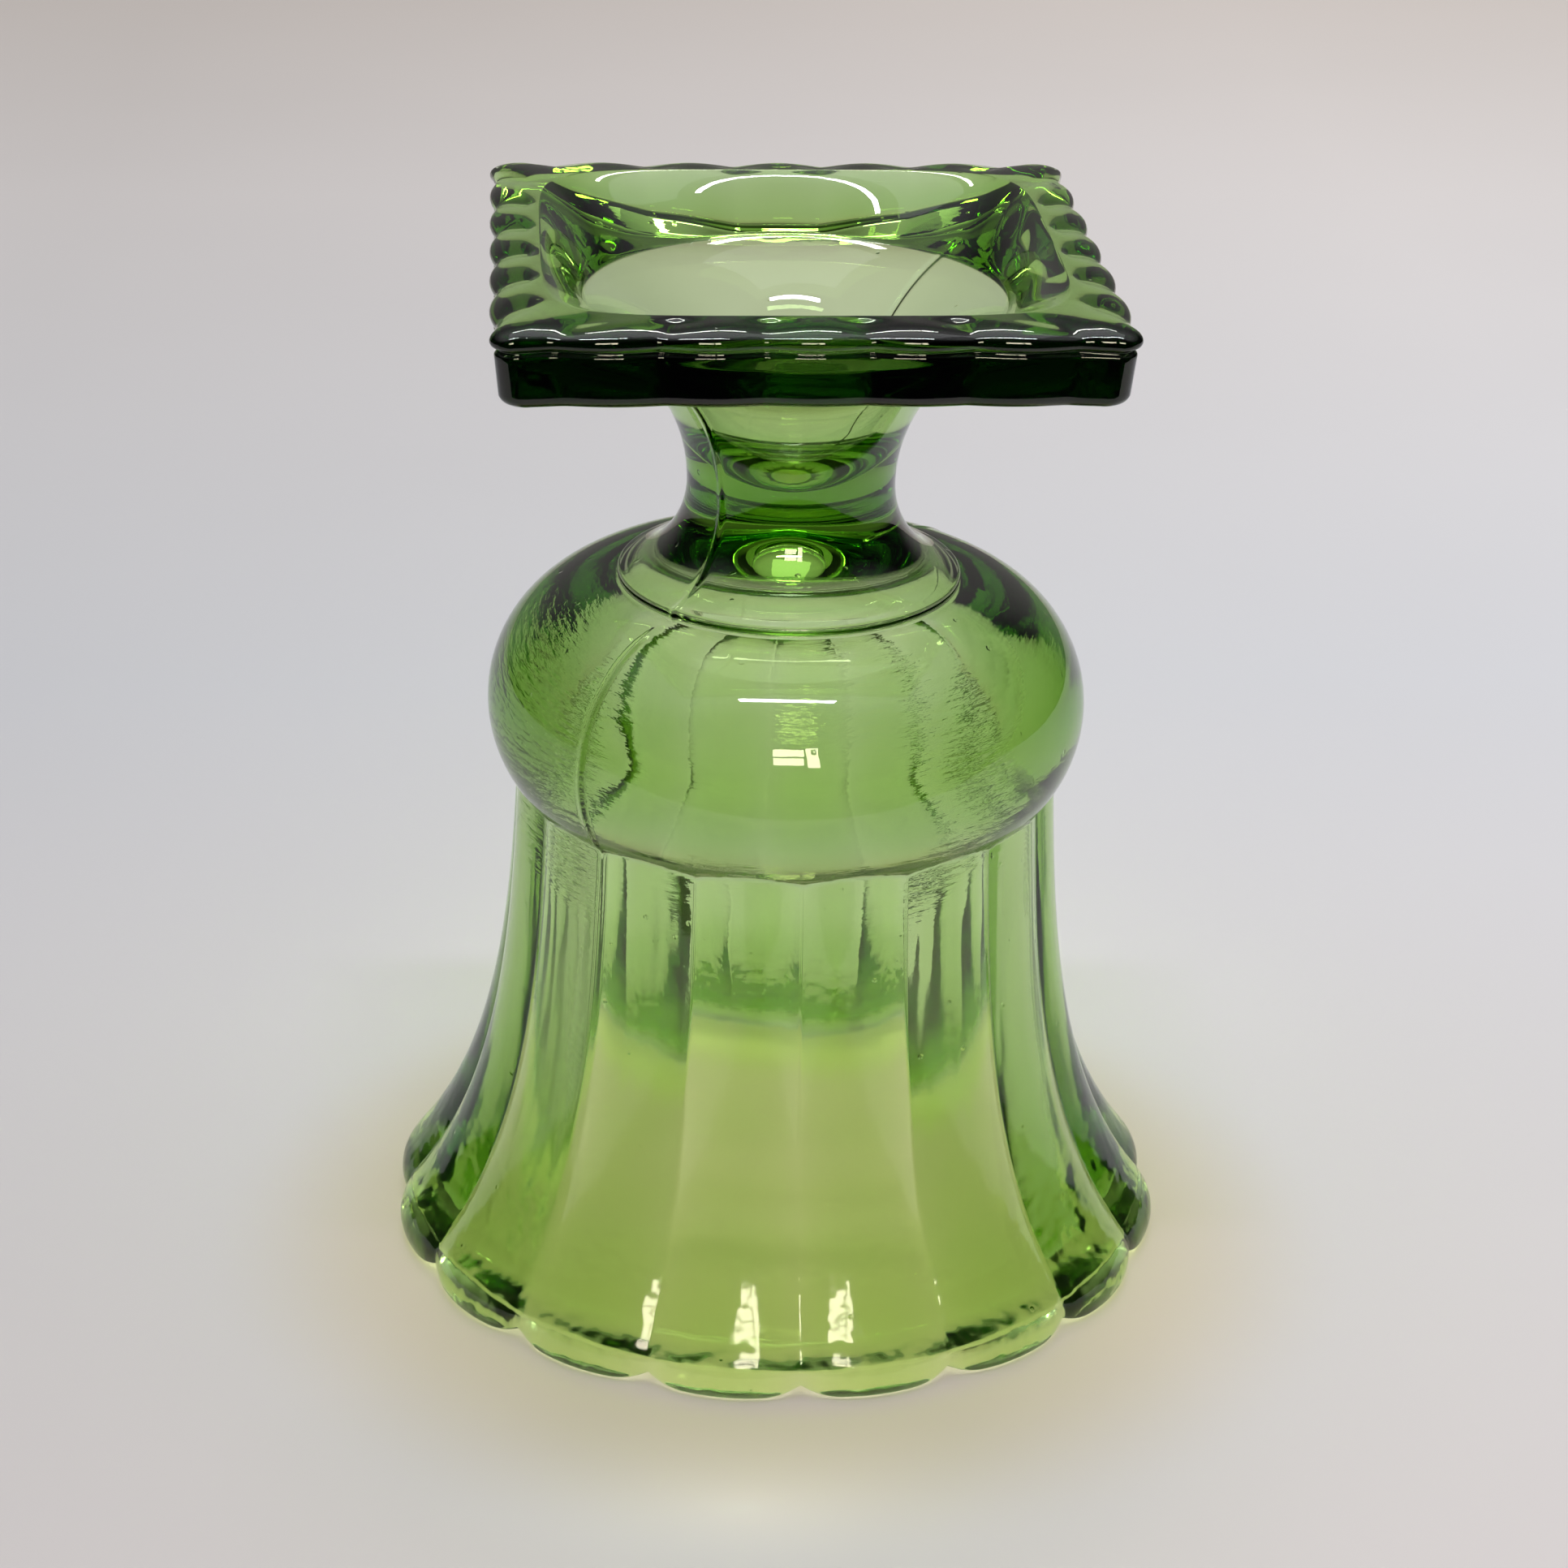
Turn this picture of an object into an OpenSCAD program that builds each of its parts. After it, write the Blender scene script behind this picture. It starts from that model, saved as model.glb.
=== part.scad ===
// Pressed-glass candlestick, standing on the scalloped mouth of its cup.
// The square foot is on top and the recess under the foot opens upwards.
// The origin is the centre of the mouth's rim plane, and +Z is the axis of the piece.
// Every module is one zone of a single glass pressing. Zones meet on flat planes.

/* [Cup] */
// Height of the fluted bell, from the rim to the crease under the bulb
bell_h = 55; // [53:0.5:58]
// Radius that the bell would have over its panels far above the flare
bell_r = 29.2; // [28:0.1:30.5]
// How far the flare carries the rim out beyond bell_r
flare = 17.7; // [16:0.1:19]
// Height over which the flare dies away
flare_len = 17; // [12:0.5:22]
// Number of convex panels around the bell
panels = 16; // [16:4:20]
// Radius of the convex face of a panel
panel_round = 10; // [9.5:0.1:12]
// Height of the petal rim, where the flare turns back down
petal_h = 4.6; // [4:0.1:6]
// How far the foot of each petal is turned in
petal_turn = 3.6; // [2.5:0.1:4]
// How much shallower the lines between the panels get towards the rim
rim_calm = 0.6; // [0.3:0.05:0.7]
// How far the notches of the rim are raised off the table
notch_lift = 1.2; // [0:0.1:1.5]

/* [Cavity] */
// Radius of the cavity far above the flare
cavity_r = 26.6; // [24:0.1:26.8]
// How far the cavity opens out towards the mouth
cavity_flare = 11; // [9:0.1:12]
// How far the edge of the mouth lies inside the panels of the rim
mouth_wall = 3.7; // [3.5:0.1:4.5]
// Height of the upright band around the mouth
mouth_band = 1.4; // [1:0.1:2]
// Height where the straight part of the cavity ends and its dome begins
dome_z = 64.5; // [60:0.5:66]
// Height of the top of the dome, inside the collar
dome_top_z = 84; // [80:0.5:85]
// How pointed the dome is, where 1 is a half ellipse
dome_taper = 1.45; // [1.3:0.05:1.7]

/* [Bulb and stem] */
// Largest radius of the bulb
bulb_r = 32.7; // [31:0.1:34]
// Radius of the bulb's profile
bulb_bend = 14.1; // [13:0.1:15]
// Height of the bulb's widest place
bulb_z = 63.5; // [62:0.5:65]
// Radius of the stem's waist
waist_r = 11.2; // [10:0.1:13]
// Height of the stem's waist
waist_z = 88.5; // [86:0.5:90]
// Height of the lip at the bottom of the collar
lip_h = 1.2; // [0.8:0.1:1.6]
// Radius of the concave profile from the waist up to the foot
stem_bend = 18.3; // [17.5:0.1:18.3]

/* [Foot] */
// Height of the whole piece
total_h = 115.1; // [114:0.1:117]
// Half the width of the square foot over its bead
foot_half = 32; // [30:0.5:34]
// Height of the foot's underside
foot_z = 106.8; // [106.8:0.1:107.5]
// Height of the groove between the band and the bead
groove_z = 112.6; // [112:0.1:113]
// Distance between neighbouring lobes of the bead
lobe_pitch = 10.4; // [9.5:0.1:10.6]
// Height of a lobe over the notches beside it
lobe_rise = 0.8; // [0.2:0.1:1]
// Radius of the foot's corners
corner_r = 2.2; // [1.6:0.1:3]
// Half the width of the dish, where its rounded shoulder begins
dish_half = 26.8; // [25:0.1:27.5]
// Radius of the recess at the bottom of the dish
recess_r = 22.4; // [21:0.1:22.8]
// How square the dish's outline is at the top, where 2 is a circle
dish_square = 6; // [4:0.5:9]
// Height of the recess's round edge
recess_z = 109; // [108.5:0.1:110]
// Height where the wall of the recess turns into its rounded nose
nose_z = 98; // [96:0.5:100]
// Height of the bottom of the recess
recess_bottom_z = 89.2; // [89:0.1:92]

/* [Mould seams] */
// Width of the two raised mould seams
seam_w = 0.9; // [0.5:0.1:1.5]
// Height of the seams over the glass
seam_rise = 0.25; // [0.1:0.05:0.4]

/* [Hidden] */

GLASS = "#7fa64f";
EPS = 0.5;               // overshoot of a cutting tool
ARC_STEPS = 14;          // chords in one arc of a turned profile
PANEL_STEPS = 8;         // chords across one panel
BELL_ROWS = 18;          // rings of points up the bell
LOBE_STEPS = 8;          // points along one lobe
DISH_STEPS = 96;         // points in one ring of the dish
DISH_ROWS = 7;           // rows of facets down the dish
BAND_ROWS = [3, 2.2, 1.6, 1.2, 0.9, 0.6, 0.3, 0];  // rows down to the mouth's band, in fillet heights
SEAM_AZIMUTHS = [45, 225];

panel_turn = 360 / panels;
bulb_core_r = bulb_r - bulb_bend;
crease_z = bulb_z + bulb_bend;
stem_top_z = 105;        // flat seam between the stem and the foot
STEM_END = 102;          // angle of the stem's profile where it runs into the foot's underside
NOSE_ROUND = 4.5;        // how strongly the nose of the recess is rounded
SHOULDER_TURN = 65;      // angle through which the dish's shoulder turns down
BAND_FILLET = 0.7;       // height over which the mouth's band runs into the cavity's flare
block = 2 * dish_half + 2;
lobe_end = 2.5 * lobe_pitch;
mouth_r = bell_r + flare - petal_turn - mouth_wall;
arc_r = waist_r + stem_bend;
wall_bend = norm([arc_r - recess_r, recess_z - waist_z]);  // radius of the recess's wall, about the stem's arc

// ---- outlines and profiles ----

// Points of an arc about [r, z], from angle a0 to angle a1
function arc(r, z, bend, a0, a1) =
    [for (i = [0:ARC_STEPS])
        let (a = a0 + (a1 - a0) * i / ARC_STEPS)
        [r + bend * cos(a), z + bend * sin(a)]];

// Point at t on a cubic curve with four control points
function cubic(p, t) =
    pow(1 - t, 3) * p[0] + 3 * t * pow(1 - t, 2) * p[1] + 3 * t * t * (1 - t) * p[2] + pow(t, 3) * p[3];

// Radius over the panels at height z
function bell_radius(z) =
    bell_r + flare * exp(-z / flare_len) - petal_turn * pow(max(0, 1 - z / petal_h), 2);

// Radius of a panel of full radius r, at an angle from the panel's middle
function panel_radius(r, off) =
    (r - panel_round) * cos(off) + sqrt(pow(panel_round, 2) - pow((r - panel_round) * sin(off), 2));

// The seams run along two of the lines between panels
function on_seam(a) = len([for (s = SEAM_AZIMUTHS) if (abs(a - s) < 0.01) 1]) > 0;

// Ring of points around the bell at height z, with a line between panels at azimuth 0
function bell_ring(z) =
    let (full = bell_radius(z), depth = 1 - rim_calm * exp(-z / flare_len))
    [for (i = [0:panels * PANEL_STEPS - 1])
        let (a = i * panel_turn / PANEL_STEPS, off = (a % panel_turn) - panel_turn / 2)
        let (r = full - depth * (full - panel_radius(full, off)) + (on_seam(a) ? seam_rise : 0))
        let (notch = max(0, 4 * abs(off) / panel_turn - 1) * max(0, 1 - z / petal_h))
        [r * cos(a), r * sin(a), z + notch_lift * pow(notch, 2)]];

// Radius of the cavity at height z, with its upright band around the mouth
function cavity_radius(z) =
    let (flared = cavity_r + cavity_flare * exp(-z / flare_len))
    let (above = max(0, z - mouth_band) / BAND_FILLET)
    flared + (mouth_r - flared) * exp(-pow(above, 1.3));

// Ring of points on the cavity's wall at height z, at the azimuths of bell_ring
function cavity_ring(z) =
    [for (i = [0:panels * PANEL_STEPS - 1])
        let (a = i * panel_turn / PANEL_STEPS, r = cavity_radius(z))
        [r * cos(a), r * sin(a), z]];

// Outline of one side of the foot, as outward offsets: five convex lobes, and half a lobe at each end
function lobe(u) =
    abs(u) <= lobe_end
        ? lobe_rise * (abs(cos(180 * u / lobe_pitch)) - 1)
        : lobe_rise * (cos(90 * (foot_half - abs(u)) / (foot_half - lobe_end)) - 1);

// Foot outline with its lobes scaled by wave, moved in by inset
function side_points(inset, wave) =
    let (flat = foot_half - corner_r)
    [for (i = [-5 * LOBE_STEPS:5 * LOBE_STEPS])
        let (u = i * flat / (5 * LOBE_STEPS))
        [foot_half - inset + wave * lobe(u), u * (1 - inset / foot_half)]];
function corner_points(inset) =
    let (c = foot_half - corner_r, k = 1 - inset / foot_half)
    [for (a = [15:15:75]) [c * k, c * k] + (corner_r - inset * corner_r / foot_half) * [cos(a), sin(a)]];
function foot_ring(z, inset, wave) =
    let (quarter = concat(side_points(inset, wave), corner_points(inset)))
    [for (q = [0:3], p = quarter)
        [p[0] * cos(90 * q) - p[1] * sin(90 * q), p[0] * sin(90 * q) + p[1] * cos(90 * q), z]];

// Distance from the axis to the dish's outline at azimuth a
function dish_reach(a) =
    dish_half / pow(pow(abs(cos(a)), dish_square) + pow(abs(sin(a)), dish_square), 1 / dish_square);

// Angle on the arc of the recess's wall at height z
function wall_angle(z) = 180 - asin((z - waist_z) / wall_bend);

// Ring of points on the dish where its shoulder has turned down by tilt
function dish_ring(tilt) =
    let (along = sin(tilt) / sin(SHOULDER_TURN), down = (1 - cos(tilt)) / (1 - cos(SHOULDER_TURN)))
    [for (i = [0:DISH_STEPS - 1])
        let (a = 360 * i / DISH_STEPS)
        let (r = recess_r * along + dish_reach(a) * (1 - along))
        [r * cos(a), r * sin(a), total_h - (total_h - recess_z) * down]];

// ---- solids ----

// Closed solid through rings with equal numbers of points
module loft(rings) {
    n = len(rings[0]);
    points = [for (ring = rings, p = ring) p];
    sides = [for (k = [0:len(rings) - 2], i = [0:n - 1])
        let (a = k * n + i, b = k * n + (i + 1) % n)
        each [[a, a + n, b + n], [a, b + n, b]]];
    ends = [[for (i = [0:n - 1]) i], [for (i = [n - 1:-1:0]) (len(rings) - 1) * n + i]];
    polyhedron(points = points, faces = concat(sides, ends), convexity = 8);
}

// Closed tube through rings with equal numbers of points, up the outside and down the inside
module tube(rings) {
    n = len(rings[0]);
    points = [for (ring = rings, p = ring) p];
    polyhedron(
        points = points,
        faces = [for (k = [0:len(rings) - 1], i = [0:n - 1])
            let (j = (i + 1) % n, low = k * n, high = ((k + 1) % len(rings)) * n)
            each [[low + i, high + i, high + j], [low + i, high + j, low + j]]],
        convexity = 8);
}

// Turned solid from a profile that runs upwards on the outside
module turned(profile) {
    bottom = profile[0][1];
    top = profile[len(profile) - 1][1];
    rotate_extrude($fn = 128) polygon(concat([[0, bottom]], profile, [[0, top]]));
}

// Turned solid with the two mould seams standing proud of it
module turned_with_seams(profile) {
    turned(profile);
    intersection() {
        turned([for (p = profile) [p[0] + seam_rise, p[1]]]);
        for (a = SEAM_AZIMUTHS)
            rotate(a)
                translate([0, -seam_w / 2, 0])
                cube([foot_half, seam_w, total_h]);
    }
}

// Inside of the cup, from the top of the petal rim to the top of the dome
module cavity() {
    wall_rows = 12;
    wall = [for (i = [0:wall_rows])
        let (z = petal_h + (dome_z - petal_h) * pow(i / wall_rows, 1.3))
        [cavity_radius(z), z]];
    edge_r = cavity_radius(dome_z);
    dome_h = dome_top_z - dome_z;
    dome = [for (i = [1:ARC_STEPS])
        let (a = 90 * i / ARC_STEPS)
        [edge_r * pow(cos(a), dome_taper), dome_z + dome_h * sin(a)]];
    mouth = [[0, petal_h - EPS], [cavity_radius(petal_h), petal_h - EPS]];
    rotate_extrude($fn = 128) polygon(concat(mouth, wall, dome));
}

// Bowl-shaped recess running down into the stem
module recess() {
    wall = arc(arc_r, waist_z, wall_bend, wall_angle(recess_z), wall_angle(nose_z));
    last = wall[ARC_STEPS];
    lean = [(waist_z - nose_z) / wall_bend, -(arc_r - last[0]) / wall_bend];
    bottom = [0, recess_bottom_z];
    nose_curve = [last, last + NOSE_ROUND * lean, bottom + [NOSE_ROUND, 0], bottom];
    nose = [for (i = [1:ARC_STEPS]) cubic(nose_curve, i / ARC_STEPS)];
    rotate_extrude($fn = 96)
        polygon(concat([[0, recess_z + EPS], [wall[0][0], recess_z + EPS]], wall, nose));
}

// Hollow of the foot: the wall of the recess, and the dish with its rounded shoulder above it
module foot_hollow() {
    wall = arc(arc_r, waist_z, wall_bend, wall_angle(stem_top_z - EPS), wall_angle(recess_z));
    above = [for (p = dish_ring(0)) p + [0, 0, EPS]];
    loft(concat(
        [for (p = wall) [for (i = [0:DISH_STEPS - 1])
            let (a = 360 * i / DISH_STEPS)
            [p[0] * cos(a), p[0] * sin(a), p[1]]]],
        [for (i = [DISH_ROWS - 1:-1:0]) dish_ring(SHOULDER_TURN * i / DISH_ROWS)],
        [above]));
}

// ---- zones of the pressing ----

module petal_rim() {
    outer_rows = [0, 0.15, 0.33, 0.6, 1];
    color(GLASS) tube(concat(
        [for (t = outer_rows) bell_ring(petal_h * t)],
        [cavity_ring(petal_h)],
        [for (t = BAND_ROWS) cavity_ring(mouth_band + BAND_FILLET * t)],
        [cavity_ring(0)]));
}

module bell() {
    color(GLASS) difference() {
        loft([for (i = [0:BELL_ROWS]) bell_ring(petal_h + (bell_h - petal_h) * pow(i / BELL_ROWS, 1.3))]);
        cavity();
    }
}

module bulb() {
    start = -asin((bulb_z - bell_h) / bulb_bend);
    color(GLASS) difference() {
        turned_with_seams(arc(bulb_core_r, bulb_z, bulb_bend, start, 90));
        cavity();
    }
}

module collar() {
    rise = waist_z - crease_z - lip_h;
    out = bulb_core_r - lip_h / 2 - waist_r;
    lip = [[bulb_core_r, crease_z], [bulb_core_r, crease_z + lip_h / 2]];
    bend = (pow(out, 2) + pow(rise, 2)) / (2 * out);
    start = 180 + asin(rise / bend);
    color(GLASS) difference() {
        turned_with_seams(concat(lip, arc(waist_r + bend, waist_z, bend, start, 180)));
        cavity();
    }
}

module stem() {
    top = asin((stem_top_z - waist_z) / stem_bend);
    color(GLASS) difference() {
        turned_with_seams(arc(arc_r, waist_z, stem_bend, 180, 180 - top));
        recess();
    }
}

module foot_dish() {
    start = asin((stem_top_z - waist_z) / stem_bend);
    flare_out = arc(arc_r, waist_z, stem_bend, 180 - start, STEM_END);
    color(GLASS) difference() {
        union() {
            turned(concat(flare_out, [[flare_out[ARC_STEPS][0], foot_z + EPS]]));
            translate([-block / 2, -block / 2, foot_z]) cube([block, block, groove_z - foot_z]);
        }
        foot_hollow();
    }
}

module foot_band() {
    band_h = groove_z - foot_z;
    // height as a share of the band, how far the outline is moved in there, and how strong the lobes are
    section = [[0, 1.9, 0.3], [0.07, 1.2, 0.35], [0.2, 0.8, 0.4], [1, 0.5, 0.5]];
    color(GLASS) difference() {
        loft([for (s = section) foot_ring(foot_z + band_h * s[0], s[1], s[2])]);
        translate([-block / 2, -block / 2, foot_z - EPS]) cube([block, block, total_h - foot_z]);
    }
}

module foot_bead() {
    bead_h = total_h - groove_z;
    // height as a share of the bead, and how far the outline is moved in there
    section = [[0, 0.45], [0.2, 0.1], [0.4, 0], [0.65, 0.3], [0.85, 1], [0.97, 2], [1, 3]];
    color(GLASS) difference() {
        loft([for (s = section) foot_ring(groove_z + bead_h * s[0], s[1], 1)]);
        foot_hollow();
    }
}

foot_bead();
foot_band();
foot_dish();
stem();
collar();
bulb();
bell();
petal_rim();
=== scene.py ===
"""Pressed-glass candlestick, standing on its mouth on white paper in soft light."""
import math

import bpy
import numpy as np
from mathutils import Matrix, Vector


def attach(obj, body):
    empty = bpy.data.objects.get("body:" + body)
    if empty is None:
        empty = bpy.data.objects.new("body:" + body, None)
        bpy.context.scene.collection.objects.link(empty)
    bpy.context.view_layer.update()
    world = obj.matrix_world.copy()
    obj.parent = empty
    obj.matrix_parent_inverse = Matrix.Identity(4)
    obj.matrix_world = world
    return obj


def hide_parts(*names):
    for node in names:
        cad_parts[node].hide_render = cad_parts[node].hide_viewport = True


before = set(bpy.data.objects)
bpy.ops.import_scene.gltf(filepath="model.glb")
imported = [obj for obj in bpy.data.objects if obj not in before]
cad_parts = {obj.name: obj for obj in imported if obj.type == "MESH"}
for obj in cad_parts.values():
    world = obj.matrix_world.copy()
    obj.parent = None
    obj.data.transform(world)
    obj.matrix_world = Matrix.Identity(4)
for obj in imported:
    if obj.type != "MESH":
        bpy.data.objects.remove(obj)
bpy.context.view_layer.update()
MM = 0.001

# ---- camera ----

LENS, SENSOR = 87.6, 36.0  # mm
CAMERA_AT = Vector((-0.0301, -0.3849, 0.2276))
HEADING, PITCH, ROLL = 4.474, 24.389, 1.352  # degrees: from +Y towards +X, downwards, and about the view


def add_camera():
    h, p, r = (math.radians(a) for a in (HEADING, PITCH, ROLL))
    ahead = Vector((math.sin(h) * math.cos(p), math.cos(h) * math.cos(p), -math.sin(p)))
    level = ahead.cross(Vector((0, 0, 1))).normalized()
    above = level.cross(ahead)
    right = level * math.cos(r) + above * math.sin(r)
    up = above * math.cos(r) - level * math.sin(r)
    data = bpy.data.cameras.new("camera")
    data.lens, data.sensor_width = LENS, SENSOR
    data.clip_start, data.clip_end = 0.01, 20
    cam = bpy.data.objects.new("camera", data)
    bpy.context.collection.objects.link(cam)
    cam.matrix_world = Matrix.Translation(CAMERA_AT) @ Matrix(
        ((right.x, up.x, -ahead.x), (right.y, up.y, -ahead.y), (right.z, up.z, -ahead.z))
    ).to_4x4()
    bpy.context.scene.camera = cam


add_camera()

# ---- shape of the glass, in mm as in the CAD model ----

BELL_H, BELL_R, FLARE, FLARE_LEN = 55.0, 29.2, 17.7, 17.0
PANELS, PANEL_ROUND = 16, 10.0
PETAL_H, PETAL_TURN = 4.6, 3.6
RIM_CALM, NOTCH_LIFT = 0.6, 1.2
RIM_ROUND, RIM_TOP = 0.35, 0.6  # rounding of the edge it stands on, and the first row above it
CREASE, CREASE_IN = 1.2, 0.9  # height of the crease under the bulb, and how far it runs in
CAVITY_R, CAVITY_FLARE, DOME_Z, DOME_TOP_Z, DOME_TAPER = 26.6, 11.0, 64.5, 84.0, 1.45
MOUTH_R, MOUTH_BAND, BAND_FILLET, FILLET_FADE, MOUTH_ROUND = 39.6, 1.4, 0.7, 1.3, 0.12
FILLET_ROWS = (0.5, 0.9, 1.2, 1.4, 1.5, 1.62, 1.75, 1.9, 2.05, 2.2, 2.4, 2.6, 2.8, 3.1)
CAVITY_WALL_Z = 3.5  # the cavity's plain wall starts here
BULB_R, BULB_BEND, BULB_Z = 32.7, 14.1, 63.5
WAIST_R, WAIST_Z, STEM_BEND, STEM_TURN, LIP_H = 11.2, 88.5, 18.3, 78.0, 1.2
TOTAL_H, FOOT_HALF, FOOT_Z, GROOVE_Z = 115.1, 32.0, 106.8, 112.6
FULL_LOBES, LOBE_PITCH, LOBE_RISE, CORNER_R = 5, 10.4, 0.8, 2.2
CUSP = 0.12  # roundness of the notches between the lobes
NOTCH_DIP = 0.45  # how far those notches run down into the top of the bead
DISH_HALF, DISH_SQUARE = 26.8, 6.0
RECESS_R, RECESS_Z, NOSE_Z, NOSE_ROUND, RECESS_BOTTOM_Z = 22.4, 109.0, 98.0, 4.5, 89.2
SEAM_W, SEAM_RISE, SEAM_FADE = 0.9, 0.25, 0.42  # the fade is a share of the width
SEAM_AZIMUTHS = (45.0, 225.0)

BULB_CORE = BULB_R - BULB_BEND
BULB_START = -math.asin((BULB_Z - BELL_H) / BULB_BEND)
BULB_FOOT_R = BULB_CORE + BULB_BEND * math.cos(BULB_START)

# outline of the foot: (height, inset from the foot's half width, share of the lobes' rise)
UNDERSIDE_DROP, UNDERSIDE_INSET, UNDERSIDE_WAVE = 0.4, 2.2, 0.6
BAND_EDGE = ((0.05, 1.75, 0.62), (0.2, 1.4, 0.64), (0.5, 1.1, 0.67), (1.0, 0.85, 0.7))  # over FOOT_Z
GROOVE = ((-0.35, 0.5, 0.78), (-0.2, 0.62, 0.82), (-0.05, 0.75, 0.87), (0.1, 0.72, 0.93))  # over GROOVE_Z
# the bead: (share of its height, inset)
BEAD = ((0.12, 0.35), (0.22, 0.12), (0.34, 0.02), (0.46, 0.03), (0.58, 0.16), (0.68, 0.38),
        (0.77, 0.7), (0.85, 1.12), (0.91, 1.6), (0.955, 2.15), (0.985, 2.75), (1.0, 3.4))

AROUND = 768  # points in every ring
THETA = np.arange(AROUND) * 2 * math.pi / AROUND


def ring(radii, z):
    """One ring of the glass: its radius and height at every azimuth."""
    return np.broadcast_to(radii, AROUND).copy(), np.broadcast_to(z, AROUND).copy()


def panelled(full):
    """Radii around the convex panels of a ring whose full radius is given."""
    turn = 2 * math.pi / PANELS
    off = np.mod(THETA, turn) - turn / 2
    centre = full - PANEL_ROUND
    return centre * np.cos(off) + np.sqrt(PANEL_ROUND**2 - (centre * np.sin(off)) ** 2)


def bell_radius(z):
    return BELL_R + FLARE * math.exp(-z / FLARE_LEN) - PETAL_TURN * max(0.0, 1 - z / PETAL_H) ** 2


def bell_ring(z, inset=0.0):
    """Radii and heights around the bell, whose notches are lifted at the rim."""
    full = bell_radius(z)
    depth = 1 - RIM_CALM * math.exp(-z / FLARE_LEN)
    half = math.pi / PANELS
    off = np.abs(np.mod(THETA, 2 * half) - half) / half
    notch = np.maximum(0, 2 * off - 1) * max(0.0, 1 - z / PETAL_H)
    return full - depth * (full - panelled(full)) - inset, z + NOTCH_LIFT * notch**2


def cavity_radius(z):
    """The cavity flares down to a narrow upright band round the mouth."""
    flared = CAVITY_R + CAVITY_FLARE * math.exp(-z / FLARE_LEN)
    above = max(0.0, z - MOUTH_BAND)
    return flared + (MOUTH_R - flared) * math.exp(-((above / BAND_FILLET) ** FILLET_FADE))


def seam(radius):
    """How far the two mould seams stand out, at every azimuth of a ring of that radius."""
    rise = np.zeros(AROUND)
    for azimuth in SEAM_AZIMUTHS:
        off = np.mod(THETA - math.radians(azimuth) + math.pi, 2 * math.pi) - math.pi
        rise += SEAM_RISE * np.exp(-((off * radius / (SEAM_W * SEAM_FADE)) ** 2))
    return rise


def polar(outline):
    """Radii at THETA of a closed outline given as points."""
    pts = np.array(outline)
    ang = np.mod(np.arctan2(pts[:, 1], pts[:, 0]), 2 * math.pi)
    rad = np.hypot(pts[:, 0], pts[:, 1])
    order = np.argsort(ang)
    ang, rad = ang[order], rad[order]
    ang = np.concatenate([ang - 2 * math.pi, ang, ang + 2 * math.pi])
    return np.interp(THETA, ang, np.tile(rad, 3))


def lobe(u):
    """How far the foot's edge stands out at u along a side, from 0 on the lobes down into the notches."""
    end = FULL_LOBES / 2 * LOBE_PITCH
    inside = np.sqrt(np.cos(math.pi * u / LOBE_PITCH) ** 2 + CUSP**2) / math.sqrt(1 + CUSP**2)
    beyond = np.cos(math.pi / 2 * (FOOT_HALF - np.abs(u)) / (FOOT_HALF - end))
    return LOBE_RISE * (np.where(np.abs(u) <= end, inside, np.maximum(beyond, CUSP)) - 1)


def notches():
    """How deep in a notch each azimuth lies: 0 on the lobes and 1 in the notches between them."""
    off = np.mod(THETA + math.pi / 4, math.pi / 2) - math.pi / 4
    return -lobe(FOOT_HALF * np.tan(off)) / LOBE_RISE


def foot_ring(inset, wave):
    """Radii of the lobed square outline of the foot, moved in by inset, with its lobes scaled by wave."""
    flat = FOOT_HALF - CORNER_R
    k = 1 - inset / FOOT_HALF
    u = np.linspace(-flat, flat, 500)
    side = np.stack([FOOT_HALF - inset + wave * lobe(u), u * k], 1)
    gap = 0.02  # keeps the corner's points clear of the ends of the sides
    a = np.linspace(gap, math.pi / 2 - gap, 40)
    corner = np.stack([flat * k + CORNER_R * k * np.cos(a), flat * k + CORNER_R * k * np.sin(a)], 1)
    quarter = np.concatenate([side, corner])
    outline = []
    for q in range(4):
        c, s = math.cos(q * math.pi / 2), math.sin(q * math.pi / 2)
        outline.append(quarter @ np.array([[c, s], [-s, c]]))
    return polar(np.concatenate(outline))


def dish_outline():
    """Radii of the dish's edge, a square with well rounded corners."""
    reach = np.abs(np.cos(THETA)) ** DISH_SQUARE + np.abs(np.sin(THETA)) ** DISH_SQUARE
    return DISH_HALF / reach ** (1 / DISH_SQUARE)


def smoothstep(a, b, x):
    t = min(1.0, max(0.0, (x - a) / (b - a)))
    return t * t * (3 - 2 * t)


def bell_rings():
    """Up the outside of the bell, from the edge it stands on to the crease under the bulb."""
    rings = []
    for t in (0.0, 0.12, 0.3, 0.55, 0.8, 1.0):
        a = t * math.pi / 2
        rings.append(ring(*bell_ring(RIM_ROUND * (1 - math.cos(a)), RIM_ROUND * (1 - math.sin(a)))))
    petals = np.linspace(RIM_TOP, PETAL_H, 14)
    panels = np.linspace(PETAL_H, BELL_H - CREASE, 90)[1:]
    for z in np.concatenate([petals, panels]):
        radii, heights = bell_ring(z)
        rings.append(ring(radii + seam(bell_radius(z)), heights))
    for t in (0.25, 0.5, 0.75, 0.92):
        z = BELL_H - CREASE + CREASE * t
        radii = np.maximum(bell_ring(z)[0], BULB_FOOT_R - CREASE_IN + CREASE_IN * t * t)
        rings.append(ring(radii + seam(BULB_FOOT_R), z))
    return rings


def bulb_rings():
    rings = []
    for t in np.linspace(0, 1, 80)[1:]:
        a = BULB_START + (math.pi / 2 - BULB_START) * t
        r = BULB_CORE + BULB_BEND * math.cos(a)
        rings.append(ring(r + seam(r), BULB_Z + BULB_BEND * math.sin(a)))
    return rings


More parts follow.
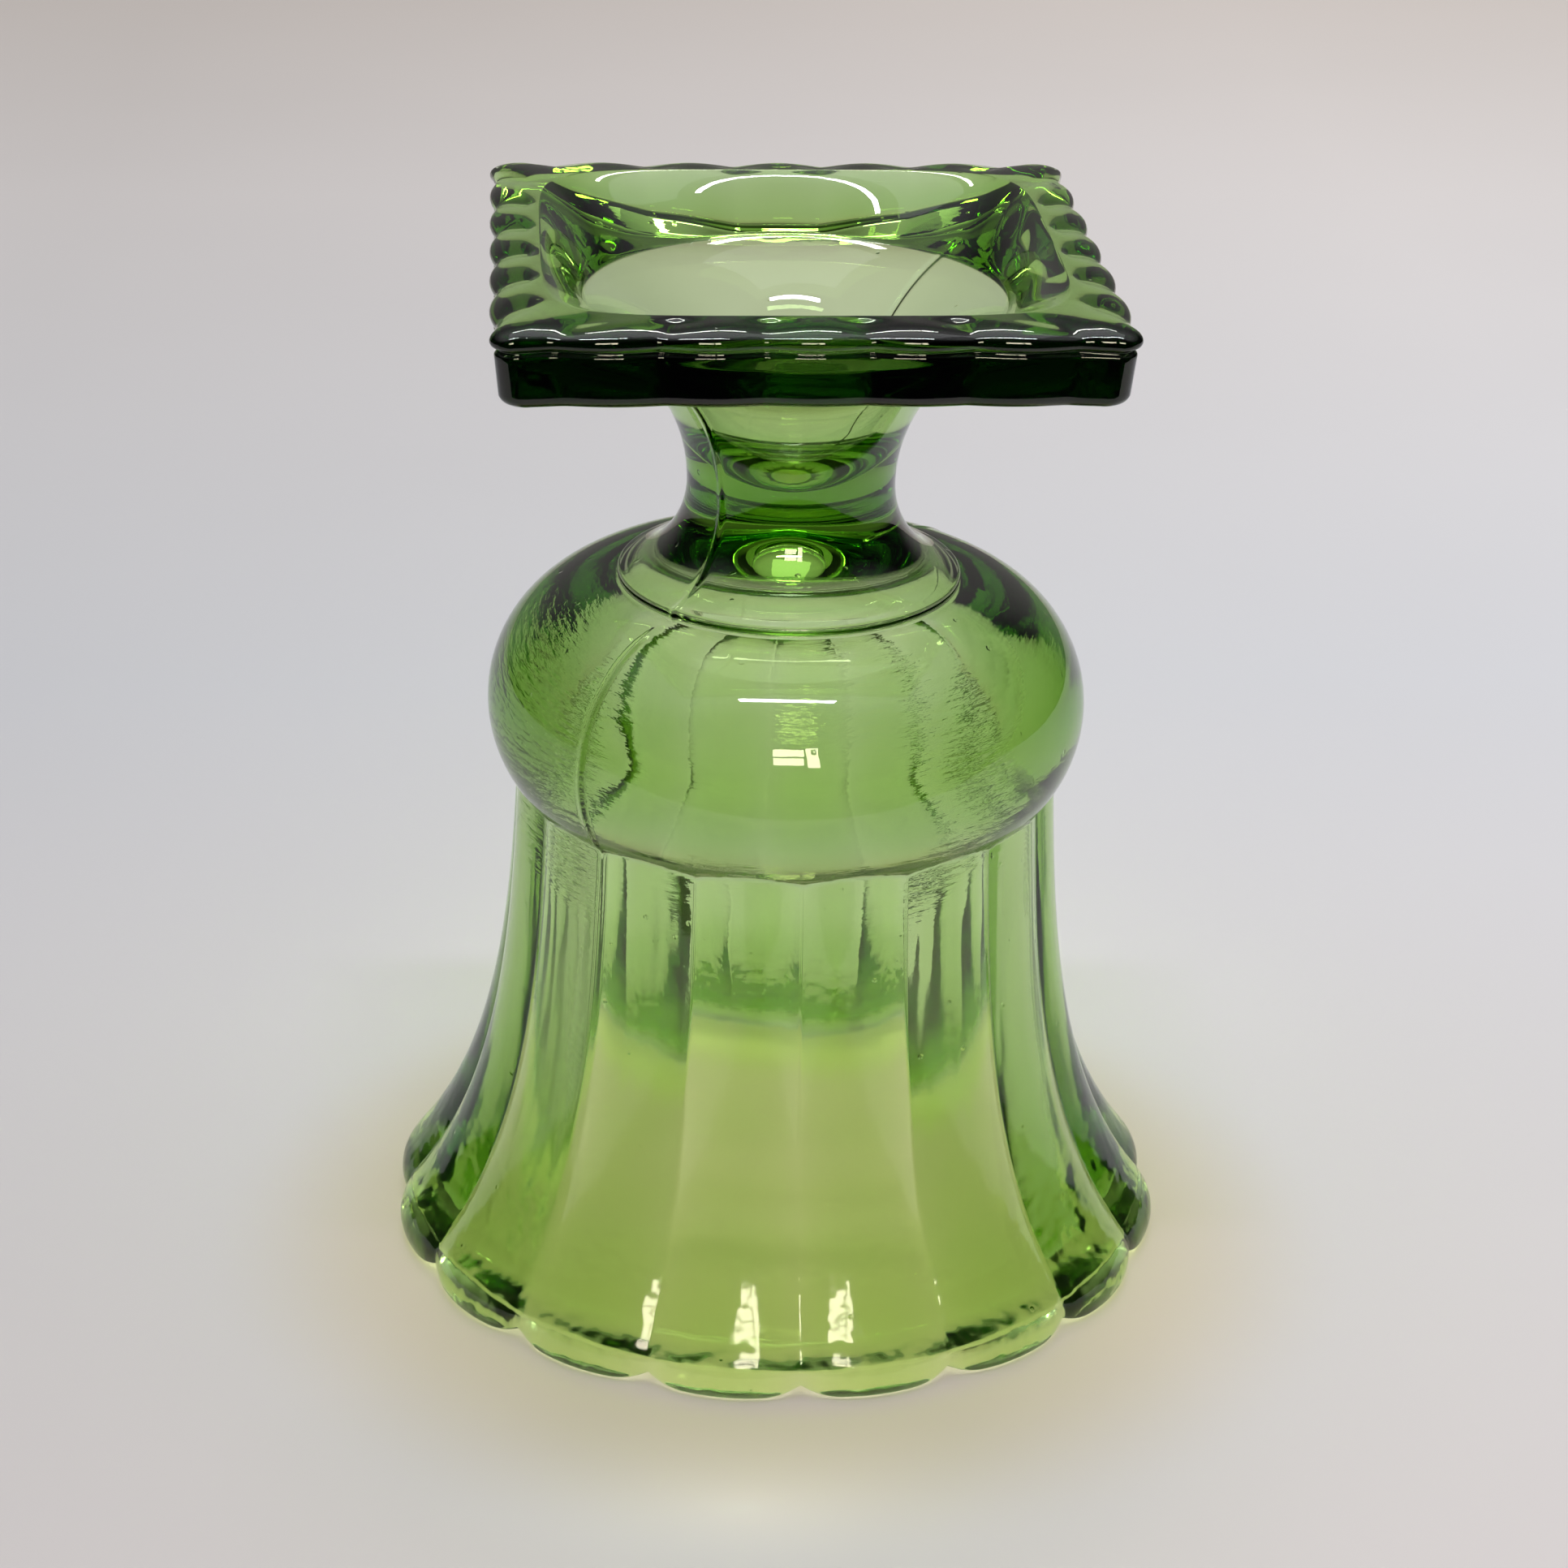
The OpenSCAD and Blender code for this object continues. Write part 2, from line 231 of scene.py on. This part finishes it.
def stem_rings():
    """The collar's rounded lip, the collar up to the waist, and the stem flaring into the foot."""
    rings = []
    crease_z = BULB_Z + BULB_BEND
    lip_round = LIP_H * 0.45
    for degrees in np.linspace(-50, 70, 10):
        a = math.radians(degrees)
        r = BULB_CORE - lip_round + lip_round * math.cos(a)
        rings.append(ring(r + seam(r), crease_z + LIP_H - lip_round + lip_round * math.sin(a)))
    rise, out = WAIST_Z - crease_z - LIP_H, BULB_CORE - LIP_H / 2 - WAIST_R
    bend = (out**2 + rise**2) / (2 * out)
    start = math.pi + math.asin(rise / bend)
    for t in np.linspace(0, 1, 40)[1:]:
        a = start + (math.pi - start) * t
        r = WAIST_R + bend + bend * math.cos(a)
        rings.append(ring(r + seam(r), WAIST_Z + bend * math.sin(a)))
    for t in np.linspace(0, 1, 46)[1:]:
        a = math.pi - math.radians(STEM_TURN) * t
        r = WAIST_R + STEM_BEND + STEM_BEND * math.cos(a)
        rings.append(ring(r + seam(r), WAIST_Z + STEM_BEND * math.sin(a)))
    return rings


def foot_rings(stem_end):
    """From the stem's last radii over the foot's underside, its band, the groove and the bead."""
    rings = []
    edge = foot_ring(UNDERSIDE_INSET, UNDERSIDE_WAVE)
    for t in np.linspace(0, 1, 12)[1:]:
        z = FOOT_Z - UNDERSIDE_DROP + UNDERSIDE_DROP * smoothstep(0, 0.25, t)
        rings.append(ring(stem_end + (edge - stem_end) * t, z))
    rings += [ring(foot_ring(inset, wave), FOOT_Z + dz) for dz, inset, wave in BAND_EDGE]
    low, inset, wave = BAND_EDGE[-1]
    for t in np.linspace(0, 1, 12)[1:]:
        z = FOOT_Z + low + (GROOVE_Z - 0.5 - FOOT_Z - low) * t
        rings.append(ring(foot_ring(inset - 0.4 * t, wave + 0.05 * t), z))
    rings += [ring(foot_ring(inset, wave), GROOVE_Z + dz) for dz, inset, wave in GROOVE]
    for share, inset in BEAD:
        z = GROOVE_Z + (TOTAL_H - GROOVE_Z) * share - NOTCH_DIP * share**3 * notches()
        rings.append(ring(foot_ring(inset, 1.0), z))
    return rings


def dish_rings():
    """The land inside the bead, where the notches fade out, and the dish down to the recess."""
    rings = []
    outer, inner = foot_ring(BEAD[-1][1], 1.0), dish_outline()
    for t in (0.25, 0.5, 0.75, 0.95):
        rings.append(ring(outer + (inner - outer) * t, TOTAL_H - NOTCH_DIP * (1 - t) ** 2 * notches()))
    for t in np.linspace(0, 1, 40):
        rings.append(ring(inner + (RECESS_R - inner) * t**1.5, TOTAL_H - (TOTAL_H - RECESS_Z) * t**2))
    return rings


def recess_rings():
    """The recess in the stem, in a wall that follows the stem's flare and a rounded nose."""
    rings = []
    centre_r = WAIST_R + STEM_BEND
    wall = math.hypot(centre_r - RECESS_R, RECESS_Z - WAIST_Z)
    top = math.pi - math.asin((RECESS_Z - WAIST_Z) / wall)
    low = math.pi - math.asin((NOSE_Z - WAIST_Z) / wall)
    for t in np.linspace(0, 1, 40)[1:]:
        a = top + (low - top) * t
        rings.append(ring(centre_r + wall * math.cos(a), WAIST_Z + wall * math.sin(a)))
    end = np.array([centre_r + wall * math.cos(low), NOSE_Z])
    lean = np.array([(WAIST_Z - NOSE_Z) / wall, -(centre_r - end[0]) / wall])
    tip = np.array([0.0, RECESS_BOTTOM_Z])
    controls = (end, end + NOSE_ROUND * lean, tip + np.array([NOSE_ROUND, 0]), tip)
    for t in np.linspace(0, 1, 30)[1:-1]:
        weights = ((1 - t) ** 3, 3 * t * (1 - t) ** 2, 3 * t * t * (1 - t), t**3)
        rings.append(ring(*sum(weight * point for weight, point in zip(weights, controls))))
    return rings


def cavity_rings():
    """From the mouth's inner edge up to near the top of the dome."""
    rings = []
    for t in (0.0, 0.3, 0.6, 1.0):
        a = t * math.pi / 2
        z = MOUTH_ROUND * (1 - math.cos(a))
        rings.append(ring(cavity_radius(z) + MOUTH_ROUND * (1 - math.sin(a)), z))
    for z in FILLET_ROWS + tuple(np.linspace(CAVITY_WALL_Z, DOME_Z, 80)):
        rings.append(ring(cavity_radius(z), z))
    edge = cavity_radius(DOME_Z)
    for t in np.linspace(0, 1, 50)[1:-1]:
        a = t * math.pi / 2
        rings.append(ring(edge * math.cos(a) ** DOME_TAPER, DOME_Z + (DOME_TOP_Z - DOME_Z) * math.sin(a)))
    return rings


def build_glass():
    """One closed skin: down the cavity, up the outside, over the foot and down the recess."""
    stem = stem_rings()
    outside = bell_rings() + bulb_rings() + stem + foot_rings(stem[-1][0]) + dish_rings() + recess_rings()
    rows = cavity_rings()[::-1] + outside
    verts = [np.stack([radii * np.cos(THETA), radii * np.sin(THETA), z], 1) for radii, z in rows]
    ends = np.array([[0, 0, DOME_TOP_Z], [0, 0, RECESS_BOTTOM_Z]])
    co = np.concatenate(verts + [ends]) * MM
    first = np.arange(AROUND)
    second = (first + 1) % AROUND
    quads = []
    for row in range(len(rows) - 1):
        low, high = row * AROUND, (row + 1) * AROUND
        quads.append(np.stack([low + first, low + second, high + second, high + first], 1))
    dome_top = len(rows) * AROUND
    nose, last = dome_top + 1, dome_top - AROUND
    caps = [(dome_top, int(j), int(i)) for i, j in zip(first, second)]
    caps += [(nose, last + int(i), last + int(j)) for i, j in zip(first, second)]
    mesh = bpy.data.meshes.new("glass")
    mesh.from_pydata(co.tolist(), [], np.concatenate(quads).tolist() + caps)
    mesh.polygons.foreach_set("use_smooth", np.ones(len(mesh.polygons), bool))
    mesh.update()
    obj = bpy.data.objects.new("candlestick_glass", mesh)
    bpy.context.collection.objects.link(obj)
    return obj


# ---- node trees ----


class Tree:
    """The empty node tree of a material or a world, with short ways to add nodes."""

    def __init__(self, owner):
        owner.use_nodes = True
        self.nodes, self.links = owner.node_tree.nodes, owner.node_tree.links
        self.nodes.clear()

    def feed(self, socket, value):
        """Links an output to the socket, or sets the socket to a plain value."""
        if isinstance(value, bpy.types.NodeSocket):
            self.links.new(value, socket)
        else:
            socket.default_value = value

    def add(self, kind, inputs=None, **settings):
        """A new node, with its inputs given by name or by place."""
        node = self.nodes.new("ShaderNode" + kind)
        for name, value in settings.items():
            setattr(node, name, value)
        for name, value in (inputs or {}).items():
            self.feed(node.inputs[name], value)
        return node

    def maths(self, operation, *values):
        return self.add("Math", dict(enumerate(values)), operation=operation).outputs[0]

    def times(self, *values):
        product = values[0]
        for value in values[1:]:
            product = self.maths("MULTIPLY", product, value)
        return product

    def ramp(self, source, low, high, at_low, at_high, kind="SMOOTHSTEP"):
        """Goes from at_low to at_high while the source goes from low to high."""
        ends = {"Value": source, "From Min": low, "From Max": high, "To Min": at_low, "To Max": at_high}
        return self.add("MapRange", ends, interpolation_type=kind).outputs[0]

    def colours(self, source, stops, interpolation="LINEAR"):
        """A colour ramp with its stops in order, as (position, colour)."""
        node = self.add("ValToRGB", {0: source})
        ramp = node.color_ramp
        ramp.interpolation = interpolation
        for element, (position, colour) in zip(ramp.elements, (stops[0], stops[-1])):
            element.position, element.color = position, colour + (1,)
        for position, colour in stops[1:-1]:
            ramp.elements.new(position).color = colour + (1,)
        return node.outputs[0]

    def mixed(self, a, b, factor=1.0, blend="MIX"):
        """Mixes two colours, or multiplies them."""
        inputs = {"A": a, "B": b, "Factor": factor}
        return self.add("Mix", inputs, data_type="RGBA", blend_type=blend).outputs["Result"]

    def noise(self, place, scale, detail, stretch=None):
        if stretch:
            place = self.add("Mapping", {"Vector": place, "Scale": stretch}).outputs[0]
        return self.add("TexNoise", {"Vector": place, "Scale": scale, "Detail": detail}).outputs["Fac"]

    def bump(self, height, size, below=None):
        """A bumped normal, over the one below it. The size is (distance, strength)."""
        inputs = {"Height": height, "Distance": size[0], "Strength": size[1]}
        if below:
            inputs["Normal"] = below
        return self.add("Bump", inputs).outputs[0]

    def either(self, switch, plain, special):
        """The special shader where the switch is on, and the plain one elsewhere."""
        return self.add("MixShader", {0: switch, 1: plain, 2: special}).outputs[0]


def new_material(name):
    mat = bpy.data.materials.new(name)
    return mat, Tree(mat)


# ---- glass, with heights and radii in m ----

GLASS_IOR = 1.52
ABSORB_COLOUR, ABSORB_DENSITY = (0.51, 0.745, 0.10, 1), 190.0
SHADOW_TINT = (0.97, 0.93, 0.98, 1)
# the glass's own tint, and the painted shade on the front of the foot's band and bead
GLASS_TINT, BAND_SHADE_COLOUR = (0.97, 1.0, 0.93, 1), (0.03, 0.06, 0.02, 1)
# roughness of the bell's lower half, and what is added to it on the mouth's far side
SATIN, SATIN_FADE = 0.09, (0.032, 0.050)
MOUTH_SATIN, MOUTH_FADE, FAR_SIDE, MOUTH_EDGE = 0.25, (0.003, 0.008), (0.0, 0.02), (0.0405, 0.0415)
# where the front of the foot's band and bead is painted near black as painted shade, by depth and by height
BAND_SHADE_DEPTH, BAND_SHADE_LOW, BAND_SHADE_HIGH = (-0.0298, -0.0290), (0.1060, 0.1066), (0.1140, 0.1149)
# the plunger's side of the bulb: its heights, and its radius limit and where that narrows
PLUNGER_LOW, PLUNGER_HIGH = (0.044, 0.052), (0.0765, 0.0770)
PLUNGER_NARROWS, PLUNGER_LIMIT = (0.068, 0.0765), (0.0280, 0.0215)
BELL_FADE, RIM_FADE = (0.045, 0.055), (0.009, 0.017)  # heights where their waves end
LEVEL_STROKES, UPRIGHT_WAVES = (320, 320, 1900), (330, 330, 30)  # noise scales along x, y and z
# bumps: (distance, strength)
BROAD_BUMP, FINE_BUMP, BELL_BUMP = (0.0003, 0.07), (0.00003, 0.1), (0.0006, 0.16)
RIM_BUMP, STROKE_BUMP, PIT_BUMP = (0.0005, 0.22), (0.0004, 0.40), (0.00012, 0.3)


def glass_relief(tree, place, z, radius):
    """Pressing waves, wrinkles and pits, as a bumped normal."""
    # the plunger's side of the bulb is wrinkled in short level strokes
    within = tree.maths("SUBTRACT", tree.ramp(z, *PLUNGER_NARROWS, *PLUNGER_LIMIT), radius)
    inside = tree.times(
        tree.ramp(within, 0, 0.0005, 0, 1),
        tree.ramp(z, *PLUNGER_LOW, 0, 1),
        tree.ramp(z, *PLUNGER_HIGH, 1, 0),
    )
    patchy = tree.ramp(tree.noise(place, 60, 1), 0.45, 0.62, 0.1, 1)
    strokes = tree.times(tree.noise(place, 1, 3, LEVEL_STROKES), inside, patchy)
    # the bell has long upright waves, and its rim is wavy all over
    bell_waves = tree.times(tree.noise(place, 1, 1, UPRIGHT_WAVES), tree.ramp(z, *BELL_FADE, 1, 0))
    rim_waves = tree.times(tree.noise(place, 420, 1), tree.ramp(z, *RIM_FADE, 1, 0))
    cells = tree.add("TexVoronoi", {"Vector": place, "Scale": 210}).outputs["Distance"]
    pits = tree.ramp(cells, 0.03, 0.075, 0, 1)
    normal = tree.bump(tree.noise(place, 110, 1.5), BROAD_BUMP)
    normal = tree.bump(tree.noise(place, 900, 2), FINE_BUMP, normal)
    normal = tree.bump(bell_waves, BELL_BUMP, normal)
    normal = tree.bump(rim_waves, RIM_BUMP, normal)
    normal = tree.bump(strokes, STROKE_BUMP, normal)
    return tree.bump(pits, PIT_BUMP, normal)


def glass_material():
    mat, tree = new_material("green_pressed_glass")
    place = tree.add("TexCoord").outputs["Object"]
    x, y, z = tree.add("SeparateXYZ", {0: place}).outputs
    radius = tree.maths("SQRT", tree.maths("ADD", tree.times(x, x), tree.times(y, y)))
    # the bell is satin below, and the far side of the mouth is duller still
    satin = tree.ramp(z, *SATIN_FADE, SATIN, 0.0)
    far_mouth = tree.times(
        tree.ramp(z, *MOUTH_FADE, MOUTH_SATIN, 0),
        tree.ramp(y, *FAR_SIDE, 0, 1),
        tree.ramp(radius, *MOUTH_EDGE, 1, 0),
    )
    # the front of the foot's band and bead is painted near black: painted shade for the darkness it shows,
    # not a darker glass
    painted_band_shade = tree.times(
        tree.ramp(y, *BAND_SHADE_DEPTH, 1, 0), tree.ramp(z, *BAND_SHADE_LOW, 0, 1), tree.ramp(z, *BAND_SHADE_HIGH, 1, 0)
    )
    glass = tree.add("BsdfPrincipled", {
        "Base Color": tree.mixed(GLASS_TINT, BAND_SHADE_COLOUR, painted_band_shade),
        "Roughness": tree.maths("ADD", satin, far_mouth),
        "IOR": GLASS_IOR,
        "Transmission Weight": 1.0,
        "Normal": glass_relief(tree, place, z, radius),
    })
    absorb = tree.add("VolumeAbsorption", {"Color": ABSORB_COLOUR, "Density": ABSORB_DENSITY})
    # lamps reach the paper through the glass, tinted by it
    clear = tree.add("BsdfTransparent", {"Color": SHADOW_TINT})
    surface = tree.either(tree.add("LightPath").outputs["Is Shadow Ray"], glass.outputs[0], clear.outputs[0])
    tree.add("OutputMaterial", {"Surface": surface, "Volume": absorb.outputs[0]})
    return mat


# ---- paper and card ----

PAPER_R, PAPER_POINTS, PAPER_Z = 1.0, 96, -0.0002
PAPER_FRONT, PAPER_BACK = -0.1, 0.75  # painted light and shade: the paper's colours change between these depths, darker and warmer at the back
PAPER_LIGHT_STOPS = (
    (0.0, (0.76, 0.69, 0.68)), (0.30, (0.72, 0.71, 0.735)), (0.62, (0.755, 0.705, 0.69)),
    (1.0, (0.66, 0.58, 0.52)),
)
MOTTLE, SIDES, SIDE_LEVELS = (0.97, 1.02), (-0.12, 0.16), (0.97, 1.24)  # levels of the random mottle, then places and levels of the painted light that brightens the right side
SHADE_REACH, SHADE_LEAN = 0.066, 0.007  # the shade leans towards the front
SHADE_STOPS = ((0.033, (1.0, 0.80, 0.92)), (0.041, (0.98, 0.89, 0.72)), (SHADE_REACH, (1.0, 1.0, 1.0)))
GLOW_AT, GLOW_SCALE, GLOW = (0.19, 2.85, 0), (27, 46, 0), 1.30
CARD_HALF, CARD_FRONT, CARD_BACK, CARD_Z = 0.9, -0.95, -0.16, 0.0004
DARK_ROOM_COLOUR = (0.012, 0.012, 0.014, 1)


def paper_material():
    mat, tree = new_material("white_paper")
    place = tree.add("TexCoord").outputs["Object"]
    x, y, _ = tree.add("SeparateXYZ", {0: place}).outputs
    # painted light and shade on the paper: darker and warmer towards the back and brighter to the right, with
    # a random mottle
    base = tree.colours(tree.ramp(y, PAPER_FRONT, PAPER_BACK, 0, 1, "LINEAR"), PAPER_LIGHT_STOPS)
    mottle = tree.ramp(tree.noise(place, 9, 3), 0, 1, *MOTTLE, "LINEAR")
    painted_light_right = tree.ramp(x, *SIDES, *SIDE_LEVELS, "LINEAR")
    colour = tree.mixed(base, tree.times(mottle, painted_light_right), blend="MULTIPLY")
    # soft shade under the piece, warm where it comes out around it
    flat = tree.add("CombineXYZ", {"X": x, "Y": tree.maths("ADD", y, SHADE_LEAN)}).outputs[0]
    span = tree.add("VectorMath", {0: flat}, operation="LENGTH").outputs["Value"]
    stops = tuple((radius / SHADE_REACH, shade) for radius, shade in SHADE_STOPS)
    shade = tree.colours(tree.maths("DIVIDE", span, SHADE_REACH), stops, "EASE")
    colour = tree.mixed(colour, shade, blend="MULTIPLY")
    # light gathered by the glass on the paper in front
    spot = tree.add("Mapping", {"Vector": place, "Location": GLOW_AT, "Scale": GLOW_SCALE}).outputs[0]
    glow = tree.add("TexGradient", {0: spot}, gradient_type="QUADRATIC_SPHERE").outputs["Fac"]
    colour = tree.mixed(colour, tree.ramp(glow, 0, 1, 1.0, GLOW, "LINEAR"), blend="MULTIPLY")
    paper = tree.add("BsdfPrincipled", {"Base Color": colour, "Roughness": 0.9})
    tree.add("OutputMaterial", {"Surface": paper.outputs[0]})
    return mat


# near black, as a painted dark reflection of the unlit room in front
def dark_room_card_material():
    mat, tree = new_material("dark_room_card")
    card = tree.add("BsdfDiffuse", {"Color": DARK_ROOM_COLOUR})
    tree.add("OutputMaterial", {"Surface": card.outputs[0]})
    return mat


def add_sheet(name, outline, z, material):
    """A flat sheet of the stage."""
    mesh = bpy.data.meshes.new(name)
    mesh.from_pydata([(x, y, 0) for x, y in outline], [], [tuple(range(len(outline)))])
    mesh.materials.append(material)
    obj = bpy.data.objects.new(name, mesh)
    obj.location.z = z
    bpy.context.collection.objects.link(obj)
    return obj


# ---- the piece and its stage ----

glass = build_glass()
glass.data.materials.append(glass_material())
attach(glass, "root")
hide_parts("foot_bead", "foot_band", "foot_dish", "stem", "collar", "bulb", "bell", "petal_rim")

turns = np.linspace(0, 2 * math.pi, PAPER_POINTS, endpoint=False)
disc = [(PAPER_R * math.cos(a), PAPER_R * math.sin(a)) for a in turns]
floor = add_sheet("paper_floor", disc, PAPER_Z, paper_material())

# a dark card on the floor in front, standing in for the dark room on the camera's side: a painted dark
# reflection, seen only in mirrors and through the glass
corners = [(-CARD_HALF, CARD_FRONT), (CARD_HALF, CARD_FRONT), (CARD_HALF, CARD_BACK), (-CARD_HALF, CARD_BACK)]
card = add_sheet("dark_room_card", corners, CARD_Z, dark_room_card_material())
card.visible_camera = card.visible_diffuse = card.visible_shadow = False

# ---- light ----

LAMPS_AIM = Vector((0, 0, 0.06))
COOL, WARM = (0.93, 0.96, 1.0), (1.0, 0.90, 0.68)
WINDOW_DISTANCE = 0.62


def add_lamp(name, azimuth, elevation, distance, size, power, colour):
    """A rectangular lamp aimed at the middle of the piece. Azimuth 0 is on the camera's side."""
    a, e = math.radians(azimuth), math.radians(elevation)
    back = Vector((math.sin(a) * math.cos(e), -math.cos(a) * math.cos(e), math.sin(e)))
    data = bpy.data.lights.new(name, "AREA")
    data.shape = "RECTANGLE"
    data.size, data.size_y = size
    data.energy, data.color = power, colour
    obj = bpy.data.objects.new(name, data)
    obj.location = LAMPS_AIM + back * distance
    obj.rotation_mode = "QUATERNION"
    obj.rotation_quaternion = back.to_track_quat("Z", "Y")
    obj.visible_camera = False
    bpy.context.collection.objects.link(obj)
    return obj


def add_window(name, azimuth, elevation, size, power):
    """A window pane that the glass mirrors, and that doesn't light the paper directly."""
    pane = add_lamp(name, azimuth, elevation, WINDOW_DISTANCE, size, power, WARM)
    pane.visible_diffuse = False


add_lamp("softbox", 170, 78, 1.6, (0.9, 0.9), 2.4, (0.97, 0.98, 1.0))
add_lamp("front_strip", -4, 77, 1.8, (0.80, 0.08), 12, COOL)
add_lamp("back_strip", 176, 56, 1.8, (0.60, 0.08), 4, (1.0, 0.97, 0.93))
for row in range(2):
    add_window(f"window_{row}", -3, 24 + 7 * row, (0.115, 0.062), 0.42)
add_window("window_tall", 6.5, 27, (0.045, 0.17), 0.45)

# ---- world: stops and ends are heights and depths of a view direction of length 1 ----

CEILING_STOPS = (
    (0.0, (0.02, 0.02, 0.02)), (0.45, (0.03, 0.03, 0.03)), (0.68, (0.32, 0.32, 0.32)),
    (0.83, (0.67, 0.67, 0.67)), (1.0, (0.72, 0.75, 0.78)),
)
WALL_COLOUR, WALL_LEVEL = (1.0, 0.96, 0.90, 1), 0.22
WALL_DEPTHS, WALL_HEIGHTS = (0.60, 0.90), (0.62, 0.40)
BACKDROP = (0.60, 0.585, 0.575, 1)
# how much of the ceiling's light is left on the camera's side, and where it comes back
FRONT_LEVEL, FRONT_DEPTHS = 0.12, (-0.50, -0.12)


def set_world():
    """A room with a soft bright ceiling, a pale wall behind the piece and darkness elsewhere.

    The ceiling is darker on the camera's side, and the camera itself sees a pale backdrop."""
    world = bpy.data.worlds.new("studio")
    bpy.context.scene.world = world
    tree = Tree(world)
    _, depth, height = tree.add("SeparateXYZ", {0: tree.add("TexCoord").outputs["Generated"]}).outputs
    ceiling = tree.add("Background", {
        "Color": tree.colours(height, CEILING_STOPS),
        "Strength": tree.ramp(depth, *FRONT_DEPTHS, FRONT_LEVEL, 1.0),
    })
    # the wall fades out to the sides and upwards
    behind = tree.ramp(depth, *WALL_DEPTHS, 0, 1)
    low = tree.ramp(height, *WALL_HEIGHTS, 0, 1)
    wall = tree.add("Background", {"Color": WALL_COLOUR, "Strength": tree.times(behind, low, WALL_LEVEL)})
    room = tree.add("AddShader", {0: ceiling.outputs[0], 1: wall.outputs[0]})
    backdrop = tree.add("Background", {"Color": BACKDROP})
    seen = tree.either(tree.add("LightPath").outputs["Is Camera Ray"], room.outputs[0], backdrop.outputs[0])
    tree.add("OutputWorld", {"Surface": seen})


set_world()
scene = bpy.context.scene
scene.view_settings.view_transform = "Standard"
scene.cycles.max_bounces = 24
scene.cycles.transmission_bounces = 24
scene.cycles.glossy_bounces = 8
scene.cycles.transparent_max_bounces = 16
scene.cycles.caustics_refractive = True
scene.cycles.caustics_reflective = True
scene.cycles.sample_clamp_indirect = 8
